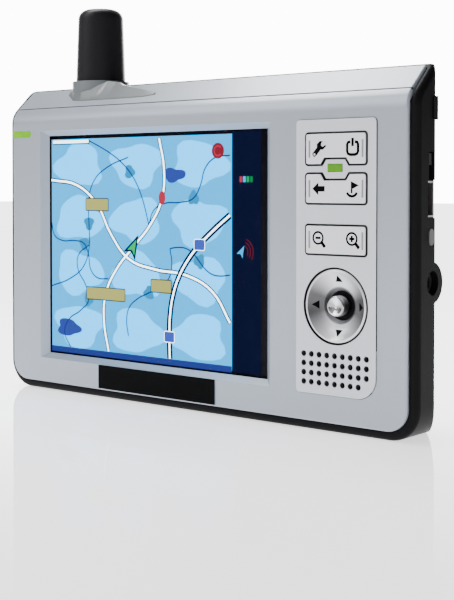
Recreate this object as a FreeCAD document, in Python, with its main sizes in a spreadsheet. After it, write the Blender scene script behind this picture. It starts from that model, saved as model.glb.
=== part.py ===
import FreeCAD, Part
import math
import os
import Sketcher

# A handheld satellite navigation unit that stands on its lower edge.
# X runs to the right, Y to the back and Z up. The origin is under the middle of the unit.
# Lengths are millimetres. A depth is counted backwards from the flat front face.

FRONT = -12.0
BEVEL = math.radians(42.4)
FLANK = math.radians(40.0)

caseHalf = 64.05
frontHalf = 61.9
frontBottom = 2.17
bevelStart = 72.99
silverDepth = 7.45
caseTop = 80.2
lipDepth = 0.9
wall = 1.65
flankDepth = 7.6
flatDepth = 20.0
caseDepth = 24.5
backBottom = 6.0
backTop = 74.5
silverTop = bevelStart + silverDepth * math.tan(BEVEL)
seatHalf = 62.4
seatBottom = 1.67
flankInner = caseHalf - wall / math.cos(FLANK)
stickX = 43.98
stickZ = 28.0
antennaX = -40.1
antennaDepth = 11.9


def y(depth):
    return FRONT + depth


def onBevel(depth, shift, lift):
    # A point near the bevel: y and z of its foot there, moved along the slope and off it.
    back = depth + shift * math.cos(BEVEL) - lift * math.sin(BEVEL)
    up = bevelStart + depth * math.tan(BEVEL) + shift * math.sin(BEVEL) + lift * math.cos(BEVEL)
    return y(back), up


# Single driving dimensions.
sizes = {
    "zero": 0.0,
    "caseWidth": 2 * caseHalf,
    "caseTop": caseTop,
    "shoulderTop": caseTop,
    "shoulderFront": y(8.3),
    "shoulderFoot": 73.2,
    "bevelRound": 5.4,
    "lipFront": y(lipDepth),
    "flatBack": y(flatDepth),
    "caseBack": y(caseDepth),
    "backBottom": backBottom,
    "backTop": backTop,
    "rearCorner": 7.3,
    "topCorner": 2.0,
    "lipRound": 1.3,
    "backRound": 1.8,
    "flankStart": y(flankDepth),
    "flankEdge": caseHalf,
    "flankFar": caseHalf + 4,
    "flankBehind": y(caseDepth + 2),
    "flankEnd": caseHalf - (caseDepth + 2 - flankDepth) * math.tan(FLANK),
    "cavityWidth": 2 * seatHalf,
    "cavityAhead": y(-4),
    "cavityAbove": caseTop + 8,
    "cavityBottom": seatBottom,
    "cavityStep": y(silverDepth + 0.05),
    "cavityTop": caseTop - wall,
    "cavityFlat": y(19.3),
    "cavityBack": y(caseDepth - wall),
    "cavityLow": 6.7,
    "cavityHigh": 73.8,
    "seatCorner": 5.7,
    "innerStart": y(flankDepth - (seatHalf - flankInner) / math.tan(FLANK)),
    "innerEdge": seatHalf,
    "innerFar": seatHalf + 4,
    "innerEnd": flankInner - (caseDepth + 2 - flankDepth) * math.tan(FLANK),
    "frontFace": FRONT,
    "frontWidth": 2 * frontHalf,
    "frontBottom": frontBottom,
    "bevelStart": bevelStart,
    "silverBack": y(silverDepth),
    "silverTop": silverTop,
    "frontCorner": 5.2,
    "edgeRound": 0.45,
    "trayWidth": 2 * (frontHalf - 1.5),
    "trayFront": y(1.6),
    "trayBottom": frontBottom + 1.5,
    "trayTurn": bevelStart - 1.6 / math.cos(BEVEL) + 1.6 * math.tan(BEVEL),
    "trayBack": y(9),
    "trayTop": bevelStart - 1.6 / math.cos(BEVEL) + 9 * math.tan(BEVEL),
    "windowLeft": -49.0,
    "windowRight": 24.0,
    "windowBottom": 9.9,
    "windowTop": 67.3,
    "windowOuterLeft": -50.9,
    "windowOuterRight": 25.9,
    "windowOuterBottom": 8.6,
    "windowOuterTop": 68.7,
    "panelFace": y(-0.3),
    "panelThick": 1.2,
    "recessFront": y(-1.0),
    "recessDeep": 1.9,
    "keyLeft": 35.8,
    "keyRight": 52.35,
    "keyGap": 0.45,
    "keyCorner": 0.9,
    "keyCornerKey": 0.5,
    "tabHalfWide": 3.35,
    "tabHalfNarrow": 2.45,
    "tabRise": 1.4,
    "keyFace": y(-0.55),
    "keyThick": 2.55,
    "grilleRadius": 0.675,
    "dishHole": 8.5,
    "collarTop": 81.7,
    "capRadius": 6.525,
    "capTipRadius": 5.95,
    "capTop": 100.9,
    "capRound": 2.7,
    "buttonSpan": 0.85,
    "gasketFront": y(0.9),
    "gasketAhead": y(0.0),
    "gasketDeep": 1.5,
    "gasketThrough": 5.0,
    "gasketTop": 70.5,
    "gasketSide": frontHalf + 0.02,
    "gasketThick": seatHalf - frontHalf - 0.02,
    "gasketLow": 70.0,
    "gasketTurn": bevelStart + lipDepth * math.tan(BEVEL) - 1.9,
    "gasketInner": y(2.4),
    "gasketBend": bevelStart - 2.4,
    "gasketEndBack": y(6.95),
    "gasketEndTop": silverTop - 1.3,
    "gasketEndLow": silverTop - 3.8,
    "seatLeft": -seatHalf,
    "seatRight": seatHalf,
    "seatFoot": seatBottom,
    "frontLeft": -frontHalf,
    "frontRight": frontHalf,
    "panelThrough": 2.0,
    "apertureFront": y(-1.2),
    "apertureDeep": 3.2,
    "keyRound": 0.2,
    "shoulderAhead": y(-2),
    "shoulderAheadTop": bevelStart - 2 * math.tan(BEVEL),
    "shoulderLow": 60.0,
    "shoulderStep": 79.4,
    "shoulderBehind": y(30),
}

# The groove where the bevel leaves the rounded turn: one edge, its floor and the other edge.
for name, shift, lift in (("Low", -0.36, 0.3), ("Deep", 0.0, -0.5), ("High", 0.36, 0.3)):
    sizes["creaseY" + name], sizes["creaseZ" + name] = onBevel(1.95, shift, lift)

# The key panel and the recess it sits in, which is larger by a small gap.
for inset, gap in (("", 0.0), ("Recess", 0.15)):
    sizes["panelLeft" + inset] = 33.5 - gap
    sizes["panelRight" + inset] = 54.4 + gap
    sizes["panelBottom" + inset] = 8.4 - gap
    sizes["panelTop" + inset] = 68.7 + gap
    sizes["panelCorner" + inset] = 0.9 + gap
    sizes["panelLowCorner" + inset] = 4.8 + gap

fairingLip = 0.25

# The pedestal's fairing: x, depth of its toe, crest and heel, and height of its crest.
fairing = {
    "fairingA": (-45.8, 5.6, 6.7, 12.0, 79.6),
    "fairingB": (-42.6, 3.9, 4.6, 12.0, 78.5),
    "fairingC": (-39.5, 3.65, 4.2, 12.0, 78.7),
    "fairingD": (-36.9, 3.6, 4.7, 12.0, 79.2),
    "fairingE": (-35.0, 3.6, 5.9, 12.0, 80.4),
    "fairingF": (-33.0, 3.6, 7.4, 12.0, 81.4),
    "fairingG": (-30.0, 3.6, 7.5, 9.0, 81.1),
    "fairingH": (-26.7, 3.6, 6.6, 7.3, 80.0),
    "fairingI": (-21.5, 3.65, 5.8, 6.8, 79.0),
    "fairingJ": (-17.0, 3.75, 5.0, 5.8, 78.1),
    "fairingK": (-13.6, 4.1, 4.6, 5.1, 77.4),
}

# Rows of repeated features: the first place and the step, or the places one by one.
grille = {"left": 35.6, "top": 17.1, "pitch": 2.06, "rows": 4, "columns": 9}
keyEnds = {"tick": (37.25, 51.15), "nub": (39.2, 48.6), "flange": (35.3, 48.9)}
boardPosts = {"": (24.0, 66.0), "-": (24.0, 58.0)}
boardNotches = {"across": (-60.0, 53.3), "up": (0.0, 68.6), "wide": 6.7, "tall": 10.9}

# Turned profiles: radius and depth.
dishFlange = ((8.0, -0.1), (8.0, 1.2), (8.7, 1.2), (8.7, 1.9))
dishSlope = {"from": 4.0, "to": 7.55, "low": 1.54, "rise": 1.86, "steps": 12}
dishFoot = ((6.0, 1.9), (6.0, 2.65), (3.15, 2.65), (3.7, 1.9))
knob = (
    (0, 5.7), (0, 0.05), (0.5, 0.03), (1.0, -0.05), (1.4, -0.17), (1.65, -0.3), (1.85, -0.38),
    (2.05, -0.33), (2.2, -0.15), (2.25, 0.1), (2.4, 1.2), (2.45, 1.7), (2.35, 2.0), (1.0, 2.2),
    (1.0, 4.9), (1.3, 5.0), (1.3, 5.7),
)
cone = ((0, 4.4), (0, 4.2), (3.2, 3.2), (3.75, 3.2), (3.75, 3.5), (3.3, 3.5))

# Plain blocks: x from and to, depth from and to, z from and to.
blocks = {
    "rimClearance": (-63, 63, 3.4, 12, -1, 71.4),
    "badge": (-29.0, 9.5, -0.3, 0.0, 2.6, 8.55),
    "panelOpening": (35.0, 53.4, -1.0, 3.0, 9.8, 67.4),
    "lightSlot": (-63.0, -55.4, -1.0, 2.6, 67.03, 68.77),
    "lightBar": (-61.86, -55.4, -0.06, 1.1, 67.05, 68.75),
    "lightLeg": (-61.86, -60.6, 0.3, 2.5, 67.05, 68.75),
    "lightStem": (-57.0, -55.6, 1.0, 8.0, 67.2, 68.6),
    "sideLed": (-57.2, -55.4, 8.05, 8.6, 67.0, 68.8),
    "mat": (34.8, 53.1, 2.5, 3.3, 37.4, 66.9),
    "matLight": (41.7, 46.1, 2.0, 4.0, 56.9, 59.3),
    "keyBoard": (33.4, 52.8, 6.6, 7.6, 20.6, 67.0),
    "statusLens": (42.0, 45.8, -0.42, 3.4, 57.3, 58.9),
    "statusLed": (43.1, 44.7, 5.9, 6.6, 57.5, 58.7),
    "navSwitch": (40.28, 47.68, 4.4, 6.6, 24.3, 31.7),
    "glassSeal": (-51.6, 26.6, 1.6, 1.75, 7.6, 69.6),
    "glassSealHole": (-49.9, 24.9, 1.0, 2.4, 9.0, 68.2),
    "glass": (-51.6, 26.6, 1.75, 2.75, 7.6, 69.6),
    "lcd": (-51.6, 26.6, 3.0, 4.4, 7.6, 69.6),
    "backlight": (-51.6, 26.6, 4.5, 6.4, 7.6, 69.6),
    "bracket": (-52.2, 27.2, 3.0, 7.0, 7.0, 70.2),
    "bracketSeat": (-51.7, 26.7, 2.0, 6.5, 7.5, 69.7),
    "bracketBack": (-40.0, 15.0, 2.0, 8.0, 18.0, 60.0),
    "bracketNotch": (-23.0, -1.0, 4.6, 6.4, 6.0, 8.0),
    "flexTop": (-22.0, -2.0, 5.0, 5.25, 5.4, 7.59),
    "flexBottom": (-22.0, -2.0, 5.0, 8.0, 5.15, 5.4),
    "flexRise": (-22.0, -2.0, 7.75, 8.0, 5.15, 8.0),
    "flexConnector": (-24.0, 0.0, 7.4, 8.6, 8.0, 11.5),
    "board": (-59.0, 59.0, 8.6, 9.6, 5.0, 72.0),
    "processor": (-20.0, -4.0, 9.6, 11.0, 36.0, 52.0),
    "memoryChip": (-24.0, -12.0, 9.6, 10.7, 24.0, 32.0),
    "gpsShield": (-50.0, -29.0, 9.6, 12.0, 44.0, 63.0),
    "antennaConnector": (-42.4, -37.8, 9.6, 12.9, 65.0, 69.0),
    "battery": (-30.0, 22.0, 16.9, 22.3, 14.0, 42.0),
    "batteryPad": (-24.0, 16.0, 22.3, 22.85, 18.0, 38.0),
    "batteryTab": (-28.0, -22.0, 19.0, 19.3, 42.0, 43.3),
    "batteryRun": (-28.0, -22.0, 9.6, 19.0, 43.0, 43.3),
    "speakerFrame": (34.6, 53.1, 2.5, 6.3, 8.6, 19.4),
    "speakerSeat": (36.2, 51.5, 2.0, 5.3, 10.0, 18.0),
    "speakerCloth": (35.2, 52.7, 1.0, 1.25, 10.0, 18.2),
    "usbShell": (54.8, 63.2, 4.8, 8.6, 47.55, 55.25),
    "usbMouth": (57.0, 64.0, 5.2, 8.2, 47.95, 54.85),
    "usbTongue": (57.0, 62.6, 6.4, 7.1, 48.9, 53.9),
    "usbPort": (60.0, 66.0, 4.7, 8.9, 47.4, 55.4),
    "jackBody": (53.4, 59.6, 4.7, 9.8, 30.5, 36.7),
    "jackNotch": (53.0, 60.0, 8.0, 10.6, 30.1, 37.1),
    "jackTrim": (58.0, 62.3, -1.0, 4.2, 27.0, 40.0),
    "sideSwitch": (57.0, 60.4, 4.6, 8.6, 40.9, 45.9),
    "slideBody": (57.0, 60.8, 4.6, 8.6, 55.9, 61.9),
    "slideKnob": (60.85, 63.6, 5.3, 6.9, 58.6, 61.1),
    "slideSlot": (60.0, 66.0, 5.1, 7.1, 55.3, 61.4),
    "cardSocket": (-2.5, 24.5, 9.6, 12.5, 45.0, 73.5),
    "cardSpace": (-1.15, 23.15, 9.95, 12.25, 45.8, 76.0),
    "card": (-1.0, 23.0, 10.05, 12.15, 47.4, 79.4),
    "cardSlot": (-1.35, 23.35, 9.75, 12.45, 74.0, 84.0),
    "labelRecess": (-26.0, 26.0, 24.3, 26.0, 20.0, 52.0),
    "buttonFlange": (61.0, 61.95, 4.6, 7.4, 41.1, 45.7),
    "lensOpening": (41.9, 45.9, -1.0, 1.5, 57.2, 59.0),
    "label": (-25.8, 25.8, 24.3, 24.45, 20.2, 51.8),
    "lug": (62.6, 64.3, 6.6, 8.4, 68.2, 73.2),
}

# Keys: the aperture's lower and upper edge, and the side where the light's notch lies.
keys = {
    "key_settings_power": ("powerKey", 58.5, 66.0, "bottom"),
    "key_back_flag": ("backKey", 50.0, 57.2, "top"),
    "key_zoom": ("zoomKey", 38.9, 45.9, None),
}

# Round pieces along an axis: x, depth and z of the near end, radius and length.
rods = {
    "boss": (56.7, 1.2, 7.5, 2.6, 7.2),
    "bossTop": (56.7, 1.8, 72.0, 2.6, 6.6),
    "insertHole": (56.7, 4.3, 7.5, 1.6, 5.0),
    "insert": (56.7, 4.4, 7.5, 1.6, 4.0),
    "insertBore": (56.7, 4.0, 7.5, 1.0, 5.0),
    "casePost": (56.7, 8.45, 7.5, 2.9, 6.5),
    "caseHole": (56.7, 8.0, 7.5, 1.15, 12.0),
    "caseSink": (56.7, 12.6, 7.5, 2.15, 12.0),
    "caseShank": (56.7, 5.0, 7.5, 0.98, 7.6),
    "caseHead": (56.7, 12.6, 7.5, 2.0, 1.3),
    "boardPost": (56.0, 9.65, 24.0, 2.2, 6.5),
    "boardPilot": (56.0, 9.0, 24.0, 0.9, 5.0),
    "boardHole": (56.0, 8.0, 24.0, 1.1, 3.0),
    "boardShank": (56.0, 8.6, 24.0, 0.86, 4.6),
    "boardHead": (56.0, 7.5, 24.0, 1.7, 1.1),
    "dome": (39.2, 6.25, 62.4, 2.0, 0.34),
    "nub": (39.2, 3.2, 62.4, 1.5, 2.9),
    "collarBore": (antennaX, antennaDepth, 74.0, 2.4, 9.0),
    "element": (antennaX, antennaDepth, 83.3, 4.2, 14.0),
    "feed": (antennaX, antennaDepth, 69.0, 0.65, 14.3),
    "jackBoss": (59.8, 7.2, 33.6, 4.5, 3.8),
    "jackRecess": (59.0, 7.2, 33.6, 2.7, 9.0),
    "jackNose": (59.6, 7.2, 33.6, 2.65, 2.4),
    "jackBore": (54.4, 7.2, 33.6, 1.8, 12.0),
    "rib": (43.9, 2.1, 0.0, 0.38, 3.0),
    "outerPin": (stickX - 2.8, 5.3, stickZ, 0.15, 5.6),
    "outerPinHole": (stickX - 3.2, 5.3, stickZ, 0.19, 6.4),
    "innerPin": (stickX, 5.3, stickZ - 2.05, 0.15, 4.1),
    "innerPinHole": (stickX, 5.3, stickZ - 2.2, 0.19, 4.4),
    "carrier": (stickX, 5.0, stickZ, 3.0, 0.6),
    "carrierHole": (stickX, 4.0, stickZ, 2.35, 3.0),
    "gimbal": (stickX, 5.0, stickZ, 2.15, 0.6),
    "gimbalHole": (stickX, 4.0, stickZ, 1.6, 3.0),
    "stickWell": (stickX, 4.0, stickZ, 3.15, 2.35),
    "boot": (stickX, 2.7, stickZ, 6.0, 0.4),
    "bootHole": (stickX, 1.0, stickZ, 1.9, 3.0),
    "magnet": (43.85, 4.5, 14.0, 3.0, 0.75),
    "buttonEnd": (61.95, 6.0, 43.4, 0.9, 2.3),
    "buttonHole": (60.0, 6.0, 43.4, 1.02, 6.0),
    "lightSlotEnd": (-55.4, -1.0, 67.9, 0.87, 3.6),
    "lightEnd": (-55.4, -0.06, 67.9, 0.85, 1.16),
    "collar": (antennaX, antennaDepth, 74.0, 7.55, 7.7),
}

for name, (left, right, near, far, low, high) in blocks.items():
    sizes[name + "Left"] = left
    sizes[name + "Wide"] = right - left
    sizes[name + "Near"] = y(near)
    sizes[name + "Deep"] = far - near
    sizes[name + "Low"] = low
    sizes[name + "Tall"] = high - low
for name, (across, near, up, radius, length) in rods.items():
    sizes[name + "Across"] = across
    sizes[name + "Near"] = y(near)
    sizes[name + "Up"] = up
    sizes[name + "Radius"] = radius
    sizes[name + "Length"] = length
for name, (across, toe, crest, heel, peak) in fairing.items():
    sizes[name] = across
    sizes[name + "Toe"] = y(toe)
    sizes[name + "Crest"] = y(crest)
    sizes[name + "Heel"] = y(heel)
    sizes[name + "Peak"] = peak
    sizes[name + "Edge"] = bevelStart + toe * math.tan(BEVEL) + fairingLip
    sizes[name + "Foot"] = bevelStart
# Apertures, and the keys themselves, which are smaller by the gap on every side.
for inset, gap in (("", 0.0), ("Key", sizes["keyGap"])):
    sizes["keyLeft" + inset] = sizes["keyLeft"] + gap
    sizes["keyRight" + inset] = sizes["keyRight"] - gap
    sizes["tabLeft" + inset] = stickX - sizes["tabHalfWide"] - gap
    sizes["tabRight" + inset] = stickX + sizes["tabHalfWide"] + gap
    sizes["tabLeftIn" + inset] = stickX - sizes["tabHalfNarrow"] - gap
    sizes["tabRightIn" + inset] = stickX + sizes["tabHalfNarrow"] + gap
    for prefix, low, high, notch in keys.values():
        sizes[prefix + "Low" + inset] = low + gap
        sizes[prefix + "High" + inset] = high - gap
        rise = sizes["tabRise"] + gap
        sizes[prefix + "Tab" + inset] = low + rise if notch == "bottom" else high - rise

doc = FreeCAD.newDocument("navigation_unit")
sheet = doc.addObject("Spreadsheet::Sheet", "dims")
for row, (alias, value) in enumerate(sizes.items(), 1):
    sheet.set(f"A{row}", alias)
    sheet.set(f"B{row}", str(round(value, 5)))
    sheet.setAlias(f"B{row}", alias)
doc.recompute()

parts = {}


def number(term):
    return -sizes[term[1:]] if term.startswith("-") else sizes[term]


def bound(term):
    return "-dims." + term[1:] if term.startswith("-") else "dims." + term


def bind(item, **terms):
    for name, term in terms.items():
        item.setExpression(name.replace("_", "."), bound(term))


def keep(label, item):
    item.Label = label
    parts[label] = item
    return item


def block(name):
    item = doc.addObject("Part::Box", name)
    bind(item, Length=name + "Wide", Width=name + "Deep", Height=name + "Tall")
    bind(item, Placement_Base_x=name + "Left")
    bind(item, Placement_Base_y=name + "Near")
    bind(item, Placement_Base_z=name + "Low")
    return item


def rod(name, axis="Y", across="", up=""):
    # A cylinder along Y, or along X or Z. across and up replace its place, as for a repeat.
    turns = {
        "X": FreeCAD.Rotation(FreeCAD.Vector(0, 1, 0), 90),
        "Y": FreeCAD.Rotation(FreeCAD.Vector(1, 0, 0), -90),
        "Z": FreeCAD.Rotation(),
    }
    item = doc.addObject("Part::Cylinder", name)
    item.Placement = FreeCAD.Placement(FreeCAD.Vector(), turns[axis])
    bind(item, Radius=name + "Radius", Height=name + "Length")
    item.setExpression("Placement.Base.x", across or bound(name + "Across"))
    item.setExpression("Placement.Base.y", bound(name + "Near"))
    item.setExpression("Placement.Base.z", up or bound(name + "Up"))
    return item


def fuse(name, items):
    item = doc.addObject("Part::MultiFuse", name)
    item.Shapes = items
    return item


def cut(name, base, tools):
    item = doc.addObject("Part::Cut", name)
    item.Base = base
    item.Tool = tools[0] if len(tools) == 1 else fuse(name + "_tools", tools)
    return item


def newBody(name):
    return doc.addObject("PartDesign::Body", name)


def newSketch(body, role, offset="zero"):
    # Sketches on XZ look along +Y, so their offset is counted towards the front.
    sketch = body.newObject("Sketcher::SketchObject", body.Name + "_sketch")
    plane = next(f for f in body.Origin.OriginFeatures if f.Role == role)
    sketch.AttachmentSupport = [(plane, "")]
    sketch.MapMode = "FlatFace"
    sign = "-" if role == "XZ_Plane" else ""
    sketch.setExpression("AttachmentOffset.Base.z", f"{sign}dims.{offset}")
    return sketch


def outline(sketch, points):
    # A closed outline of straight sides whose corners are held to the sheet.
    first = sketch.GeometryCount
    count = len(points)
    corners = [FreeCAD.Vector(number(a), number(b), 0) for a, b in points]
    for index in range(count):
        side = Part.LineSegment(corners[index], corners[(index + 1) % count])
        sketch.addGeometry(side, False)
    for index in range(count):
        follow = first + (index + 1) % count
        sketch.addConstraint(Sketcher.Constraint("Coincident", first + index, 2, follow, 1))
    for index, (a, b) in enumerate(points):
        hold(sketch, "DistanceX", first + index, 1, a)
        hold(sketch, "DistanceY", first + index, 1, b)


def hold(sketch, kind, side, end, term):
    held = Sketcher.Constraint(kind, -1, 1, side, end, number(term))
    place = sketch.addConstraint(held)
    sketch.setExpression(f"Constraints[{place}]", bound(term))


def ring(sketch, across, up, radius):
    middle = FreeCAD.Vector(across, up, 0)
    circle = Part.Circle(middle, FreeCAD.Vector(0, 0, 1), sizes[radius])
    index = sketch.addGeometry(circle, False)
    place = sketch.addConstraint(Sketcher.Constraint("Radius", index, sizes[radius]))
    sketch.setExpression(f"Constraints[{place}]", bound(radius))
    sketch.addConstraint(Sketcher.Constraint("DistanceX", -1, 1, index, 3, across))
    sketch.addConstraint(Sketcher.Constraint("DistanceY", -1, 1, index, 3, up))


def solidFeature(body, kind, sketch, length, reverse=False, middle=False):
    before = body.Shape.Volume if kind == "Pocket" else 0.0
    feature = body.newObject("PartDesign::" + kind, body.Name + "_" + kind)
    feature.Profile = sketch
    feature.setExpression("Length", bound(length))
    feature.Reversed = reverse
    if middle:
        feature.SideType = "Symmetric"
    doc.recompute()
    if kind == "Pocket" and body.Shape.Volume > before - 0.01:
        raise RuntimeError(f"a pocket in {body.Name} cuts nothing")
    return feature


def edges(shape, test):
    names = []
    for index, edge in enumerate(shape.Edges, 1):
        if test(edge):
            names.append(f"Edge{index}")
    return names


def along(direction, **places):
    # Picks straight edges in one direction whose middle lies at the places given.
    def test(edge):
        if edge.Curve.TypeId != "Part::GeomLine":
            return False
        start, end = edge.Vertexes[0].Point, edge.Vertexes[-1].Point
        if (end - start).normalize().cross(direction).Length > 1e-6:
            return False
        middle = (start + end) * 0.5
        return all(abs(abs(getattr(middle, k)) - abs(v)) < 0.01 for k, v in places.items())
    return test


def fillet(body, base, names, radius):
    feature = body.newObject("PartDesign::Fillet", body.Name + "_round")
    feature.Base = (base, names)
    feature.setExpression("Radius", bound(radius))
    doc.recompute()
    return feature


ALONG_X = FreeCAD.Vector(1, 0, 0)
ALONG_Y = FreeCAD.Vector(0, 1, 0)
ALONG_Z = FreeCAD.Vector(0, 0, 1)


def makeFrontShell():
    # A silver tray: flat face, rounded turn, bevel, and a short rim round its sides and foot.
    body = newBody("front_shell_body")
    profile = newSketch(body, "YZ_Plane")
    outline(profile, [
        ("frontFace", "frontBottom"), ("frontFace", "bevelStart"),
        ("silverBack", "silverTop"), ("silverBack", "frontBottom"),
    ])
    pad = solidFeature(body, "Pad", profile, "frontWidth", middle=True)
    turn = edges(pad.Shape, along(ALONG_X, y=sizes["frontFace"], z=bevelStart))
    bend = fillet(body, pad, turn, "bevelRound")
    lower = edges(bend.Shape, along(ALONG_Y, z=frontBottom))
    rounded = fillet(body, bend, lower, "frontCorner")
    rim = edges(rounded.Shape, along(ALONG_Z, x=frontHalf, y=sizes["frontFace"]))
    softened = fillet(body, rounded, rim, "edgeRound")
    tray = newSketch(body, "YZ_Plane")
    outline(tray, [
        ("trayFront", "trayBottom"), ("trayFront", "trayTurn"),
        ("trayBack", "trayTop"), ("trayBack", "trayBottom"),
    ])
    solidFeature(body, "Pocket", tray, "trayWidth", middle=True)
    crease = newSketch(body, "YZ_Plane")
    outline(crease, [
        ("creaseYLow", "creaseZLow"), ("creaseYDeep", "creaseZDeep"), ("creaseYHigh", "creaseZHigh"),
    ])
    solidFeature(body, "Pocket", crease, "caseWidth", middle=True)
    makeWindow(body)
    recess = panelSlab("panel_recess", "Recess", "recessFront", "recessDeep")
    cuts = [recess, block("rimClearance"), block("panelOpening")]
    cuts += [block("lightSlot"), rod("lightSlotEnd")]
    shell = cut("front_shell_cut", body, cuts)
    bosses = mirroredRods("boss", "bossTop")
    bores = mirroredRods("insertHole")
    bossed = fuse("front_shell_bossed", [shell] + bosses)
    keep("front_shell", cut("front_shell", bossed, bores))


def makeWindow(body):
    # The opening over the display widens towards the front, like a picture frame.
    outer = newSketch(body, "XZ_Plane", "frontFace")
    outline(outer, [
        ("windowOuterLeft", "windowOuterBottom"), ("windowOuterRight", "windowOuterBottom"),
        ("windowOuterRight", "windowOuterTop"), ("windowOuterLeft", "windowOuterTop"),
    ])
    inner = newSketch(body, "XZ_Plane", "trayFront")
    outline(inner, [
        ("windowLeft", "windowBottom"), ("windowRight", "windowBottom"),
        ("windowRight", "windowTop"), ("windowLeft", "windowTop"),
    ])
    doc.recompute()
    feature = body.newObject("PartDesign::SubtractiveLoft", "window")
    feature.Profile = outer
    feature.Sections = [inner]
    feature.Ruled = True
    doc.recompute()


def mirroredRods(lower, upper=None):
    # Four rods along Y in the corners. The upper pair may start at another depth.
    top = rods["bossTop"][2]
    items = []
    for sign in ("", "-"):
        across = f"{sign}dims.{lower}Across"
        items.append(rod(lower, across=across))
        if upper:
            items.append(rod(upper, across=across))
        else:
            items.append(rod(lower, across=across, up=str(top)))
    return items


def caseBody(name, terms, width, roundings, wedge):
    # A block with the case's side profile, rounded corners and flanks that lean in to the back.
    body = newBody(name)
    profile = newSketch(body, "YZ_Plane")
    outline(profile, terms)
    last = solidFeature(body, "Pad", profile, width, middle=True)
    for test, radius in roundings:
        last = fillet(body, last, edges(last.Shape, test), radius)
    for sign in ("", "-"):
        plan = newSketch(body, "XY_Plane")
        start, edge, far, end = wedge
        outline(plan, [
            (sign + edge, start), (sign + far, start),
            (sign + far, "flankBehind"), (sign + end, "flankBehind"),
        ])
        feature = body.newObject("PartDesign::Pocket", name + "_flank")
        feature.Profile = plan
        feature.Type = "ThroughAll"
        feature.SideType = "Symmetric"
        doc.recompute()
    return body, feature


def makeRearShell():
    outer, last = caseBody("rear_outer", [
        ("lipFront", "zero"), ("lipFront", "shoulderFoot"), ("shoulderFront", "shoulderTop"),
        ("flatBack", "shoulderTop"), ("caseBack", "backTop"), ("caseBack", "backBottom"),
        ("flatBack", "zero"),
    ], "caseWidth", [
        (along(ALONG_X, y=sizes["lipFront"], z=sizes["shoulderFoot"]), "bevelRound"),
        (along(ALONG_Y, z=0.0), "rearCorner"),
        (along(ALONG_Y, z=caseTop), "topCorner"),
        (along(ALONG_Z, x=caseHalf, y=sizes["lipFront"]), "lipRound"),
    ], ("flankStart", "flankEdge", "flankFar", "flankEnd"))
    cavity, _ = caseBody("rear_cavity", [
        ("cavityAhead", "cavityBottom"), ("cavityAhead", "cavityAbove"),
        ("cavityStep", "cavityAbove"), ("cavityStep", "cavityTop"), ("cavityFlat", "cavityTop"),
        ("cavityBack", "cavityHigh"), ("cavityBack", "cavityLow"), ("cavityFlat", "cavityBottom"),
    ], "cavityWidth", [
        (along(ALONG_Y, z=seatBottom), "seatCorner"),
    ], ("innerStart", "innerEdge", "innerFar", "innerEnd"))
    back = edges(last.Shape, lambda edge: edge.BoundBox.YMin > y(flatDepth) - 0.01)
    fillet(outer, last, back, "backRound")
    lugs = [block("lug"), block("lug")]
    lugs[1].setExpression("Placement.Base.x", "-dims.lugLeft - dims.lugWide")
    posts = mirroredRods("casePost") + boardRods("boardPost")
    inside = doc.addObject("Part::MultiCommon", "rear_posts")
    inside.Shapes = [fuse("rear_post_rods", posts), outer]
    shell = cut("rear_shell_hollow", outer, [cavity])
    boss = cut("jack_boss", rod("jackBoss", "X"), [block("jackTrim")])
    built = fuse("rear_shell_built", [shell, inside, boss] + lugs)
    openings = mirroredRods("caseHole") + mirroredRods("caseSink") + boardRods("boardPilot")
    openings += [rod("jackRecess", "X"), rod("collarBore", "Z")]
    openings += [block("usbPort"), block("slideSlot"), block("cardSlot"), block("labelRecess")]
    openings += pill("buttonHole")
    keep("rear_shell", cut("rear_shell", built, openings))


def boardRods(name):
    # Four rods along Y that carry the main board, two on each side.
    items = []
    for sign, heights in boardPosts.items():
        for up in heights:
            items.append(rod(name, across=f"{sign}dims.{name}Across", up=str(up)))
    return items


def pill(name):
    # An oval along Z that points along X: two rods and the block between them.
    middle, radius = rods[name][2], rods[name][3]
    low, high = middle - sizes["buttonSpan"], middle + sizes["buttonSpan"]
    ends = [rod(name, "X", up=str(round(up, 4))) for up in (low, high)]
    web = doc.addObject("Part::Box", name + "_web")
    bind(web, Length=name + "Length", Placement_Base_x=name + "Across")
    web.setExpression("Width", f"2 * dims.{name}Radius")
    web.setExpression("Height", "2 * dims.buttonSpan")
    web.setExpression("Placement.Base.y", f"dims.{name}Near - dims.{name}Radius")
    web.setExpression("Placement.Base.z", f"dims.{name}Up - dims.buttonSpan")
    return ends + [web]


def makeSeamGasket():
    # A black band that fills the gap between the silver tray and the dark shell's lip.
    body = newBody("seam_gasket_body")
    band = newSketch(body, "XZ_Plane", "gasketFront")
    outline(band, [
        ("seatLeft", "seatFoot"), ("seatRight", "seatFoot"),
        ("seatRight", "gasketTop"), ("seatLeft", "gasketTop"),
    ])
    pad = solidFeature(body, "Pad", band, "gasketDeep", reverse=True)
    fillet(body, pad, edges(pad.Shape, along(ALONG_Y, z=seatBottom)), "seatCorner")
    hollow = newBody("seam_gasket_hollow")
    gap = newSketch(hollow, "XZ_Plane", "gasketAhead")
    outline(gap, [
        ("frontLeft", "frontBottom"), ("frontRight", "frontBottom"),
        ("frontRight", "caseTop"), ("frontLeft", "caseTop"),
    ])
    inner = solidFeature(hollow, "Pad", gap, "gasketThrough", reverse=True)
    fillet(hollow, inner, edges(inner.Shape, along(ALONG_Y, z=frontBottom)), "frontCorner")
    band = cut("seam_gasket_band", body, [hollow])
    whole = fuse("seam_gasket_whole", [band, gasketEnd("", False), gasketEnd("-", True)])
    keep("seam_gasket", cut("seam_gasket", whole, [parts["rear_shell"]]))


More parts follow.
